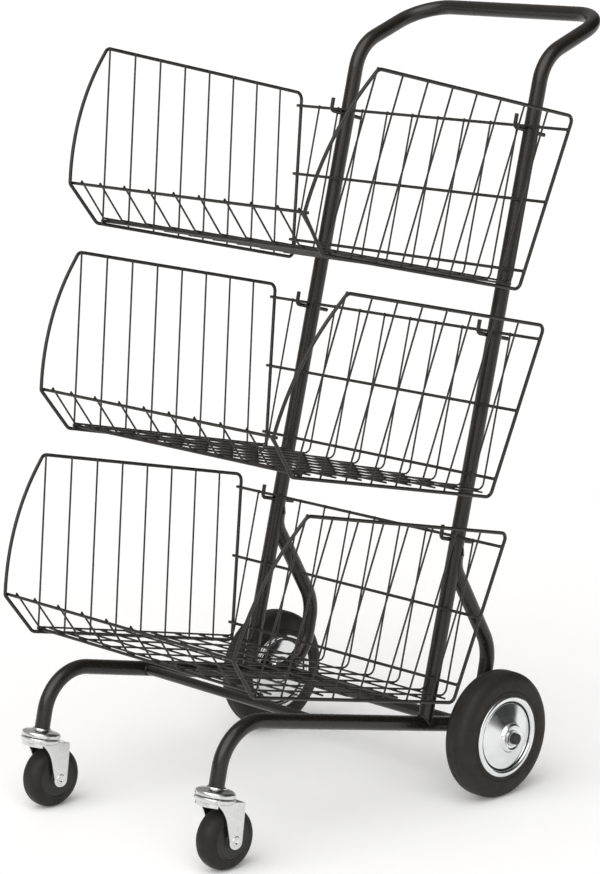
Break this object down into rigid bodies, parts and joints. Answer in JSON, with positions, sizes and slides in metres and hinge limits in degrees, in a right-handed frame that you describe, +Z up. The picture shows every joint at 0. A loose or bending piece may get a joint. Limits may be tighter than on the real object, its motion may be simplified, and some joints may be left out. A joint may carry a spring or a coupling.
{
  "type": "mail cart",
  "caption": "Mail cart: a bent steel tube frame with a push handle carries hook-on wire baskets, one above another, on fixed rear wheels and swivelling front casters.",
  "frame": {"origin": "on the floor under the middle of the cart's box", "axes": "+Z up, +Y to the rear where the handle is, +X to the left of the person pushing"},
  "size_m": [0.4924, 0.7159, 0.9618],
  "materials": {
    "frame_paint": "semi-gloss",
    "wire_paint": "semi-gloss",
    "axle_steel": "zinc plated",
    "cap_black": "satin black",
    "wheel_rubber": "matte",
    "disc_chrome": "bright plated",
    "bush_plastic": "matte",
    "caster_zinc": "zinc plated",
    "ball_steel": "polished",
    "caster_rubber": "matte",
    "core_plastic": "matte"
  },
  "bodies": {
    "frame": {"handle_upright_tube": "frame_paint", "left_base_tube": "frame_paint", "right_base_tube": "frame_paint", "front_cross_bar": "frame_paint", "axle_tube": "frame_paint", "axle": "axle_steel", "wheel_spacers": "axle_steel", "axle_caps": "cap_black", "caster_sockets": "axle_steel", "left_caster_stem": "axle_steel", "right_caster_stem": "axle_steel", "left_caster_cup": "caster_zinc", "right_caster_cup": "caster_zinc", "lower_hook_rods": "frame_paint", "middle_hook_rods": "frame_paint", "top_hook_rods": "frame_paint"},
    "left_wheel": {"left_wheel_tyre": "wheel_rubber", "left_wheel_outer_disc": "disc_chrome", "left_wheel_inner_disc": "disc_chrome", "left_wheel_hub": "axle_steel", "left_wheel_bushes": "bush_plastic"},
    "left_caster": {"left_caster_fork": "caster_zinc", "left_caster_axle": "caster_zinc", "left_caster_balls": "ball_steel"},
    "left_caster_wheel": {"left_caster_tread": "caster_rubber", "left_caster_core": "core_plastic", "left_caster_bush": "axle_steel"},
    "right_wheel": {"right_wheel_tyre": "wheel_rubber", "right_wheel_outer_disc": "disc_chrome", "right_wheel_inner_disc": "disc_chrome", "right_wheel_hub": "axle_steel", "right_wheel_bushes": "bush_plastic"},
    "right_caster": {"right_caster_fork": "caster_zinc", "right_caster_axle": "caster_zinc", "right_caster_balls": "ball_steel"},
    "right_caster_wheel": {"right_caster_tread": "caster_rubber", "right_caster_core": "core_plastic", "right_caster_bush": "axle_steel"},
    "lower_basket": {"lower_basket_left_rim": "wire_paint", "lower_basket_right_rim": "wire_paint", "lower_basket_side_wires": "wire_paint", "lower_basket_floor_wires": "wire_paint", "lower_basket_long_wires": "wire_paint", "lower_basket_back_rails": "wire_paint", "lower_basket_front_rails": "wire_paint"},
    "middle_basket": {"middle_basket_left_rim": "wire_paint", "middle_basket_right_rim": "wire_paint", "middle_basket_side_wires": "wire_paint", "middle_basket_floor_wires": "wire_paint", "middle_basket_long_wires": "wire_paint", "middle_basket_back_rails": "wire_paint", "middle_basket_front_rails": "wire_paint"},
    "top_basket": {"top_basket_left_rim": "wire_paint", "top_basket_right_rim": "wire_paint", "top_basket_side_wires": "wire_paint", "top_basket_floor_wires": "wire_paint", "top_basket_long_wires": "wire_paint", "top_basket_back_rails": "wire_paint", "top_basket_front_rails": "wire_paint"}
  },
  "joints": [
    {"name": "left_wheel_roll", "type": "hinge", "parent": "frame", "child": "left_wheel", "pos_m": [0.204, 0.09828, 0.08], "axis": [1, 0, 0], "continuous": true},
    {"name": "left_caster_swivel", "type": "hinge", "parent": "frame", "child": "left_caster", "pos_m": [0.16, -0.33504, 0.08442], "axis": [0, 0.2283, 0.9736], "continuous": true},
    {"name": "left_caster_roll", "type": "hinge", "parent": "left_caster", "child": "left_caster_wheel", "pos_m": [0.16, -0.31971, 0.0381], "axis": [1, 0, 0], "continuous": true},
    {"name": "right_wheel_roll", "type": "hinge", "parent": "frame", "child": "right_wheel", "pos_m": [-0.204, 0.09828, 0.08], "axis": [1, 0, 0], "continuous": true},
    {"name": "right_caster_swivel", "type": "hinge", "parent": "frame", "child": "right_caster", "pos_m": [-0.16, -0.33504, 0.08442], "axis": [0, 0.2283, 0.9736], "continuous": true},
    {"name": "right_caster_roll", "type": "hinge", "parent": "right_caster", "child": "right_caster_wheel", "pos_m": [-0.16, -0.31971, 0.0381], "axis": [1, 0, 0], "continuous": true},
    {"name": "lower_basket_lift", "type": "slide", "parent": "frame", "child": "lower_basket", "axis": [0, 0.2537, 0.9673], "range_m": [0, 0.025]},
    {"name": "middle_basket_lift", "type": "slide", "parent": "frame", "child": "middle_basket", "axis": [0, 0.2537, 0.9673], "range_m": [0, 0.025]},
    {"name": "top_basket_lift", "type": "slide", "parent": "frame", "child": "top_basket", "axis": [0, 0.2537, 0.9673], "range_m": [0, 0.025]}
  ]
}
